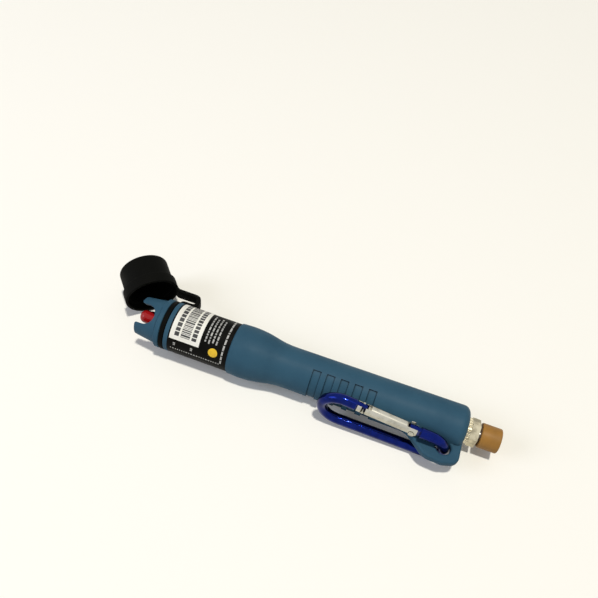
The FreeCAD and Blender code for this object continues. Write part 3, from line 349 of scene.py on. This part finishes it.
def groove_shade_walls(tree, place):
    """Mask of the walls of the grip recesses, where painted shade goes: the points whose distance
    from the pen axis lies between the recess floor and the handle's skin, along the stretch that has
    the recesses."""
    head = tuple(HEAD)
    from_tail = add(tree, "VectorMath", {0: place, 1: tuple(TAIL)}, operation="SUBTRACT").outputs[0]
    along = add(tree, "VectorMath", {0: from_tail, 1: head}, operation="DOT_PRODUCT")
    off_axis = add(tree, "VectorMath", {0: from_tail, 1: head}, operation="CROSS_PRODUCT")
    radius = add(tree, "VectorMath", {0: off_axis.outputs[0]}, operation="LENGTH")
    mask = 1.0
    for measure, (none, full) in ((radius, WALL_FOOT), (along, GRIP_REAR), (radius, WALL_TOP),
                                  (along, GRIP_FRONT)):
        edge = add(tree, "MapRange", {"Value": measure.outputs["Value"], "From Min": none * MM,
                                      "From Max": full * MM})
        mask = add(tree, "Math", {0: edge.outputs["Result"], 1: mask},
                   operation="MULTIPLY").outputs[0]
    return mask


def shade_openness(tree):
    """Mask that is 0 deep in a crevice of the piece and 1 on its open faces; it places painted shade in each
    crevice.
    """
    near = add(tree, "AmbientOcclusion", {"Distance": CREVICE_REACH * MM}, samples=16,
               only_local=True)
    return add(tree, "MapRange", {"Value": near.outputs["AO"], "From Min": CREVICE_SHUT,
                                  "From Max": CREVICE_OPEN}).outputs["Result"]


def finish(name, surface, tone, shade, roughness, bump, dust=None, grooves=None, crevices=None,
           **shader):
    """Make a material: a surface group's colour, with dust, painted shade on the walls of the grip
    recesses and painted shade in each crevice over it, its roughness, and its height as a bump of so
    many millimetres; the rest are the shader's own constants."""
    material = bpy.data.materials.new(name)
    material.use_nodes = True
    tree = material.node_tree
    body = tree.nodes["Principled BSDF"]
    place = add(tree, "TexCoord").outputs["Object"]
    kind, scales = surface
    smooth, rough = roughness
    group = add(tree, "Group", node_tree=kind)
    for socket, given in dict(scales, Vector=place, Tone=(*tone, 1), Shade=(*shade, 1),
                              Smooth=smooth, Rough=rough).items():
        join(tree, group.inputs[socket], given)
    colour = group.outputs["Color"]
    if dust:
        amount, dust_tone = dust
        specks = add(tree, "Group", node_tree=SPECKS)
        for socket, given in dict(Vector=place, Scale=DUST_SCALE, Amount=amount).items():
            join(tree, specks.inputs[socket], given)
        colour = mixed(tree, specks.outputs["Mask"], colour, (*dust_tone, 1))
    # painted shade: the walls of the grip recesses are darkened to the given tone
    if grooves:
        colour = mixed(tree, groove_shade_walls(tree, place), colour, (*grooves, 1))
    # painted shade: each crevice is darkened towards the given tone, read from ambient occlusion
    if crevices:
        colour = mixed(tree, shade_openness(tree), (*crevices, 1), colour)
    relief = add(tree, "Bump", {"Height": group.outputs["Height"], "Distance": bump * MM,
                                "Strength": BUMP_STRENGTH})
    join(tree, body.inputs["Base Color"], colour)
    join(tree, body.inputs["Roughness"], group.outputs["Roughness"])
    join(tree, body.inputs["Normal"], relief.outputs["Normal"])
    for socket, given in shader.items():
        body.inputs[socket.replace("_", " ")].default_value = given
    return material


def moulded(grain, blotch):
    """A moulded skin with so many grains and blotches to the metre."""
    return MOULDED, {"Grain": grain, "Blotch": blotch}


def drawn(stretch, film):
    """A drawn metal with so many tool lines to the metre each way, and patches of film."""
    return DRAWN, {"Stretch": stretch, "Film": film}


ROUND_THE_PEN = (9000.0, 500.0, 500.0)
ALONG_THE_BAR = (400.0, 7000.0, 7000.0)
ALL_WAYS = (3000.0, 3000.0, 3000.0)

# Each finish: its surface, two tones, the roughness from smooth to rough, the bump in millimetres
RECIPES = {
    "slate_plastic": dict(
        surface=moulded(4200.0, 60.0), tone=(0.033, 0.091, 0.143), shade=(0.028, 0.079, 0.127),
        roughness=(0.46, 0.60), bump=0.022, dust=(0.05, (0.5, 0.5, 0.48)),
        # painted shade: the housing's recess walls and each crevice are darkened to these tones
        grooves=(0.003, 0.008, 0.014), crevices=(0.006, 0.018, 0.031), Specular_IOR_Level=0.07),
    "black_rubber": dict(
        surface=moulded(3000.0, 110.0), tone=(0.0022, 0.0023, 0.0018),
        shade=(0.0036, 0.0037, 0.0030), roughness=(0.5, 0.7), bump=0.018,
        dust=(0.06, (0.04, 0.04, 0.036)), Specular_IOR_Level=0.03),
    "red_plastic": dict(
        surface=moulded(900.0, 200.0), tone=(0.34, 0.006, 0.007), shade=(0.27, 0.004, 0.005),
        roughness=(0.14, 0.24), bump=0.004, Coat_Weight=0.2, Coat_Roughness=0.06,
        Specular_IOR_Level=0.2),
    "port_metal": dict(
        surface=drawn(ROUND_THE_PEN, 130.0), tone=(0.62, 0.61, 0.59), shade=(0.5, 0.5, 0.49),
        roughness=(0.2, 0.38), bump=0.006, Metallic=1.0),
    "white_ceramic": dict(
        surface=moulded(2600.0, 300.0), tone=(0.84, 0.84, 0.81), shade=(0.78, 0.77, 0.73),
        roughness=(0.2, 0.32), bump=0.003),
    "module_brass": dict(
        surface=drawn(ROUND_THE_PEN, 130.0), tone=(0.72, 0.5, 0.2), shade=(0.58, 0.39, 0.15),
        roughness=(0.22, 0.4), bump=0.006, Metallic=1.0),
    "lens_glass": dict(
        surface=moulded(500.0, 200.0), tone=(0.94, 0.97, 1.0), shade=(0.9, 0.95, 1.0),
        roughness=(0.01, 0.04), bump=0.0005, Transmission_Weight=1.0, IOR=1.5),
    "board_green": dict(
        surface=moulded(1800.0, 400.0), tone=(0.016, 0.115, 0.045), shade=(0.011, 0.085, 0.034),
        roughness=(0.25, 0.4), bump=0.01),
    "insulator": dict(
        surface=moulded(2600.0, 150.0), tone=(0.028, 0.028, 0.029), shade=(0.02, 0.02, 0.021),
        roughness=(0.4, 0.55), bump=0.015),
    "cell_jacket": dict(
        surface=drawn(ROUND_THE_PEN, 130.0), tone=(0.26, 0.26, 0.28), shade=(0.2, 0.2, 0.22),
        roughness=(0.3, 0.45), bump=0.004, Metallic=0.7),
    "spring_steel": dict(
        surface=drawn(ALL_WAYS, 200.0), tone=(0.56, 0.56, 0.56), shade=(0.42, 0.42, 0.43),
        roughness=(0.22, 0.4), bump=0.004, Metallic=1.0),
    # painted reflection: the near-black second tone, laid in wide patches, stands for dark reflections on the nut
    # and washers
    "nickel": dict(
        surface=drawn(ROUND_THE_PEN, 230.0), tone=(0.74, 0.67, 0.48), shade=(0.030, 0.024, 0.014),
        roughness=(0.14, 0.34), bump=0.008, Metallic=1.0),
    "tan_cap": dict(
        surface=moulded(2400.0, 90.0), tone=(0.35, 0.172, 0.036), shade=(0.28, 0.140, 0.031),
        roughness=(0.42, 0.56), bump=0.012, dust=(0.05, (0.5, 0.42, 0.3)),
        Specular_IOR_Level=0.2),
    "label_black": dict(
        surface=moulded(5200.0, 120.0), tone=(0.0036, 0.0035, 0.0030),
        shade=(0.0054, 0.0052, 0.0045), roughness=(0.36, 0.5), bump=0.006,
        dust=(0.04, (0.05, 0.05, 0.05)), Specular_IOR_Level=0.03),
    "label_white": dict(
        surface=moulded(3600.0, 140.0), tone=(0.86, 0.855, 0.80), shade=(0.80, 0.79, 0.72),
        roughness=(0.42, 0.58), bump=0.006, Specular_IOR_Level=0.2),
    "blue_anodised": dict(
        surface=drawn(ALONG_THE_BAR, 260.0), tone=(0.004, 0.013, 0.150),
        shade=(0.001, 0.005, 0.055), roughness=(0.10, 0.26), bump=0.008, Metallic=0.9,
        Coat_Weight=0.08, Coat_Roughness=0.04, Specular_IOR_Level=0.1),
    "gate_metal": dict(
        surface=drawn(ALONG_THE_BAR, 260.0), tone=(0.58, 0.56, 0.48), shade=(0.24, 0.23, 0.18),
        roughness=(0.14, 0.34), bump=0.006, Metallic=1.0),
    "dark_ink": dict(
        surface=moulded(4200.0, 500.0), tone=(0.012, 0.012, 0.012), shade=(0.03, 0.03, 0.03),
        roughness=(0.4, 0.55), bump=0.003),
    "pale_ink": dict(
        surface=moulded(4200.0, 500.0), tone=(0.46, 0.46, 0.44), shade=(0.3, 0.3, 0.29),
        roughness=(0.4, 0.55), bump=0.003),
    "yellow_ink": dict(
        surface=moulded(4200.0, 500.0), tone=(0.80, 0.52, 0.02), shade=(0.70, 0.43, 0.015),
        roughness=(0.38, 0.5), bump=0.003),
}
FINISHES = {name: finish(name, **recipe) for name, recipe in RECIPES.items()}

for part in frame["record"]["subparts"]:
    node = frame["nodes"][part["node"]]
    node.data.materials.clear()
    node.data.materials.append(FINISHES[part["material_slot"]])


def dress(piece, slot, ink=None):
    """Give a new piece the finish of a slot of the record, or an ink printed on that slot's
    piece."""
    piece.data.materials.append(FINISHES[ink or slot])
    return piece


AROUND = 128

# Rubber cap: a stepped cup with rounded lips, from the middle of its inner floor to that of its
# closed end. Depths are from the mouth.
CUP_INNER, CUP_OUTER, SKIRT_INNER, SKIRT_OUTER = 12.0, 13.3, 13.2, 14.6
CUP_FLOOR, CAP_DEPTH, STEP_DEPTH, SKIRT_DEPTH = 16.8, 19.0, 3.8, 6.0
CAP_PROFILE = eased(
    ((CUP_FLOOR, 0), (CUP_FLOOR, CUP_INNER), (STEP_DEPTH, CUP_INNER), (STEP_DEPTH, SKIRT_INNER),
     (0, SKIRT_INNER), (0, SKIRT_OUTER), (SKIRT_DEPTH, SKIRT_OUTER), (SKIRT_DEPTH, CUP_OUTER),
     (CAP_DEPTH, CUP_OUTER), (CAP_DEPTH, 0)),
    (0, 1.0, 0.3, 0.3, 0.35, 0.55, 0.5, 0.5, 1.9, 0))
rubber_cap = dress(mesh_piece("rubber_cap", *turned(CAP_PROFILE, on_cap, AROUND, False)),
                   "black_rubber")
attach(rubber_cap, "cap")
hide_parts("protective_cap")

# Rubber tether: a ring in the groove, and a strap that leaves it in a hairpin, runs along the head
# and ends, thinner, in the cap's skirt. It bends between two places of its outer run.
RING_REAR, RING_FRONT, RING_INNER, RING_OUTER = 159.15, 161.45, 11.05, 13.1
INNER_RUN, OUTER_RUN, HAIRPIN_X = -14.35, -20.95, 152.4
STRAP_ROOT, STRAP_BEND, STRAP_END = (RING_X, -11.9), (166.0, OUTER_RUN), (168.5, -23.6)
HALF_THICK, HALF_WIDE = 0.95, 3.2
RING_PROFILE = eased(((RING_REAR, RING_INNER), (RING_FRONT, RING_INNER), (RING_FRONT, RING_OUTER),
                      (RING_REAR, RING_OUTER)), 0.45)
STRAP_LINE = evenly(eased(
    (STRAP_ROOT, (RING_X, INNER_RUN), (HAIRPIN_X, INNER_RUN), (HAIRPIN_X, OUTER_RUN), STRAP_BEND,
     STRAP_END), (0, 1.5, 3.2, 3.2, 1.6, 0)), 140)
STRAP_SECTION = eased(((HALF_THICK, -HALF_WIDE), (HALF_THICK, HALF_WIDE), (-HALF_THICK, HALF_WIDE),
                       (-HALF_THICK, -HALF_WIDE)), 0.5, 5)
STRAP_TAPER = np.interp(np.linspace(0, 1, len(STRAP_LINE)), (0, 0.9, 1), (1, 1, 0.72))
rubber_tether = dress(mesh_piece("rubber_tether", *together(
    turned(RING_PROFILE, on_pen, AROUND, True),
    carried(STRAP_LINE, STRAP_SECTION, STRAP_TAPER, on_pen))), "black_rubber")
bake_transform(rubber_tether)
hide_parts("cap_tether")

# Return spring of the button
SPRING_REAR, SPRING_FRONT, SPRING_SEAT = 11.1, 15.5, 15.75
SPRING_RADIUS, SPRING_WIRE, SPRING_TURNS, SPRING_KEEP = 1.5, 0.5, 3.667, 0.79
return_spring = dress(mesh_piece("return_spring", *coil(
    SPRING_REAR, SPRING_FRONT, SPRING_RADIUS, SPRING_WIRE, SPRING_TURNS, on_pen)), "spring_steel")
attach(return_spring, "pen")
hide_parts("button_spring")
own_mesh(return_spring)

# Prints: plain bars and dashes on the label and the sticker, and a plain round spot. Each lies half
# in the face it is printed on.
LABEL_FACE, STICKER_FACE, INK = 12.97, 13.09, 0.025
SPOT_X, SPOT_ANGLE, SPOT_RADIUS = 131.6, 30.0, 2.5
SMALL_PRINT, SMALL_GAP, TICK, TICK_GAP = (4, 6, 9), 2.4, (3.2,), 1.2
MOST_DASHES = 200
dice = np.random.default_rng(7)


def dash_row(x_from, x_to, angle_from, angle_to, widths, gap):
    """A row of dashes round the pen: widths in degrees are drawn from a list, with a gap after
    each, until the row is full."""
    width = dice.choice(widths, MOST_DASHES)
    start = angle_from + np.concatenate(((0.0,), np.cumsum(width + gap)[:-1]))
    keep = start + width < angle_to
    return np.stack((np.full(keep.sum(), x_from), np.full(keep.sum(), x_to), start[keep],
                     (start + width)[keep]), -1)


def dash_line(angle_from, angle_to, x_from, x_to, widths, gap):
    """A row of dashes along the pen, drawn in the same way with widths in millimetres."""
    row = dash_row(angle_from, angle_to, x_from, x_to, widths, gap)
    return row[:, [2, 3, 0, 1]]


STICKER_MARKS = np.concatenate((
    dash_row(150.9, 153.3, 41, 150, (6.5, 8.0, 9.5), 2.2),
    dash_row(144.9, 149.9, 41, 152, (1.4, 1.4, 2.8, 4.2), 1.7),
    dash_row(141.4, 143.9, 41, 151, (5.5, 7.0, 8.5), 2.0),
))
LABEL_MARKS = np.concatenate((
    dash_row(136.5, 137.3, 50, 128, SMALL_PRINT, SMALL_GAP),
    dash_row(134.5, 135.3, 48, 122, SMALL_PRINT, SMALL_GAP),
    dash_row(132.5, 133.3, 52, 132, SMALL_PRINT, SMALL_GAP),
    dash_row(130.5, 131.3, 50, 118, SMALL_PRINT, SMALL_GAP),
    dash_row(126.3, 127.2, 8, 138, (4, 6, 9, 12), 2.6),
    dash_line(2.8, 6.0, 127.5, 155.0, (0.6, 0.6, 0.9), 0.6),
    dash_row(151.9, 153.1, 15, 24, TICK, TICK_GAP),
    dash_row(142.4, 143.6, 15, 24, TICK, TICK_GAP),
))
ON_STICKER, ON_LABEL = ((face - INK, face + INK) for face in (STICKER_FACE, LABEL_FACE))
for name, marks, slot, ink in (
    ("sticker_bars", raised_marks(STICKER_MARKS, *ON_STICKER), "label_white", "dark_ink"),
    ("label_dashes", raised_marks(LABEL_MARKS, *ON_LABEL), "label_black", "pale_ink"),
    ("label_spot", raised_disc(SPOT_X, SPOT_ANGLE, SPOT_RADIUS, *ON_LABEL), "label_black",
     "yellow_ink"),
):
    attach(dress(mesh_piece(name, *marks), slot, ink), "pen")

# Table, room, lamps and camera, in metres
TABLE_HALF = 4
TABLE_TONE, GLOW_TONE = (0.90, 0.89, 0.84), (1.0, 0.99, 0.94)
NEAR_GLOW, FAR_GLOW = 0.08, 0.66
GLOW_FROM, GLOW_TO = 0.2, 3.0
ROOM_LIGHT, ROOM_SEEN = 0.20, 1.0
LAMPS = (
    ("lamp_overhead", (0.22, -0.24, 2.60), 0.17, 49.0, (1.0, 0.962, 0.87)),
    ("window_front_left", (-1.10, -0.62, 0.80), 0.70, 6.5, (0.78, 0.82, 1.0)),
)
CAMERA_AZIMUTH, CAMERA_ELEVATION, CAMERA_ROLL = 12.3, 52.0, 8.4
CAMERA_DISTANCE = 0.362
CAMERA_TARGET = Vector((-0.0121, 0.03635, 0.015))
CAMERA_NEAR = 0.01
FOCAL_PIXELS, FRAME_PIXELS, SENSOR_MM = 650.0, 598, 36.0


def seen_directly(tree):
    """Mask of the rays that show the background: from the camera, off gloss or through glass."""
    rays = add(tree, "LightPath").outputs
    some = add(tree, "Math", {0: rays["Is Camera Ray"], 1: rays["Is Glossy Ray"]}, operation="ADD")
    return add(tree, "Math", {0: some.outputs[0], 1: rays["Is Transmission Ray"]}, operation="ADD",
               use_clamp=True).outputs[0]


def add_table():
    """A wide pale table that keeps the shadow. Where it is seen it glows a little, and more the
    further from the object, where less of the lamps' light falls."""
    mesh = bpy.data.meshes.new("table")
    corners = [(TABLE_HALF * x, TABLE_HALF * y, 0) for x, y in ((-1, -1), (1, -1), (1, 1), (-1, 1))]
    mesh.from_pydata(corners, [], [(0, 1, 2, 3)])
    table = bpy.data.objects.new("table", mesh)
    bpy.context.scene.collection.objects.link(table)
    material = bpy.data.materials.new("table_top")
    material.use_nodes = True
    tree = material.node_tree
    top = tree.nodes["Principled BSDF"]
    top.inputs["Base Color"].default_value = (*TABLE_TONE, 1)
    top.inputs["Roughness"].default_value = 0.8
    top.inputs["Specular IOR Level"].default_value = 0.1
    top.inputs["Emission Color"].default_value = (*GLOW_TONE, 1)
    place = add(tree, "TexCoord").outputs["Object"]
    distance = add(tree, "VectorMath", {0: place}, operation="LENGTH").outputs["Value"]
    level = add(tree, "MapRange", {"Value": distance, "From Min": GLOW_FROM, "From Max": GLOW_TO,
                                   "To Min": NEAR_GLOW, "To Max": FAR_GLOW},
                interpolation_type="SMOOTHSTEP")
    glow = add(tree, "Math", {0: seen_directly(tree), 1: level.outputs["Result"]},
               operation="MULTIPLY")
    join(tree, top.inputs["Emission Strength"], glow.outputs[0])
    table.data.materials.append(material)


def add_room():
    """White all round where it is seen; a lower level lights the object."""
    world = bpy.data.worlds.new("room")
    world.use_nodes = True
    tree = world.node_tree
    sky = tree.nodes["Background"]
    sky.inputs["Color"].default_value = (1, 1, 1, 1)
    level = add(tree, "MapRange", {"Value": seen_directly(tree), "To Min": ROOM_LIGHT,
                                   "To Max": ROOM_SEEN})
    join(tree, sky.inputs["Strength"], level.outputs["Result"])
    bpy.context.scene.world = world


def add_lamp(name, place, size, watts, tone):
    """A square lamp that faces the middle of the object."""
    data = bpy.data.lights.new(name, "AREA")
    data.size = size
    data.energy = watts
    data.color = tone
    lamp = bpy.data.objects.new(name, data)
    turn = Vector(place).to_track_quat("Z", "Y").to_matrix().to_4x4()
    lamp.matrix_world = Matrix.Translation(place) @ turn
    bpy.context.scene.collection.objects.link(lamp)


def add_camera():
    """Look at the target from an azimuth and an elevation, rolled about the line of sight."""
    azimuth, elevation = math.radians(CAMERA_AZIMUTH), math.radians(CAMERA_ELEVATION)
    back = Vector((math.sin(azimuth) * math.cos(elevation),
                   -math.cos(azimuth) * math.cos(elevation), math.sin(elevation)))
    right = Vector((math.cos(azimuth), math.sin(azimuth), 0))
    right = Matrix.Rotation(math.radians(CAMERA_ROLL), 3, back) @ right
    up = back.cross(right)
    data = bpy.data.cameras.new("photo_camera")
    data.sensor_width = SENSOR_MM
    data.lens = FOCAL_PIXELS / FRAME_PIXELS * SENSOR_MM
    data.clip_start = CAMERA_NEAR
    camera = bpy.data.objects.new("photo_camera", data)
    turn = Matrix((right, up, back)).transposed().to_4x4()
    camera.matrix_world = Matrix.Translation(CAMERA_TARGET + CAMERA_DISTANCE * back) @ turn
    bpy.context.scene.collection.objects.link(camera)
    bpy.context.scene.camera = camera


add_table()
add_room()
for lamp in LAMPS:
    add_lamp(*lamp)
add_camera()
bpy.context.scene.view_settings.view_transform = "Standard"
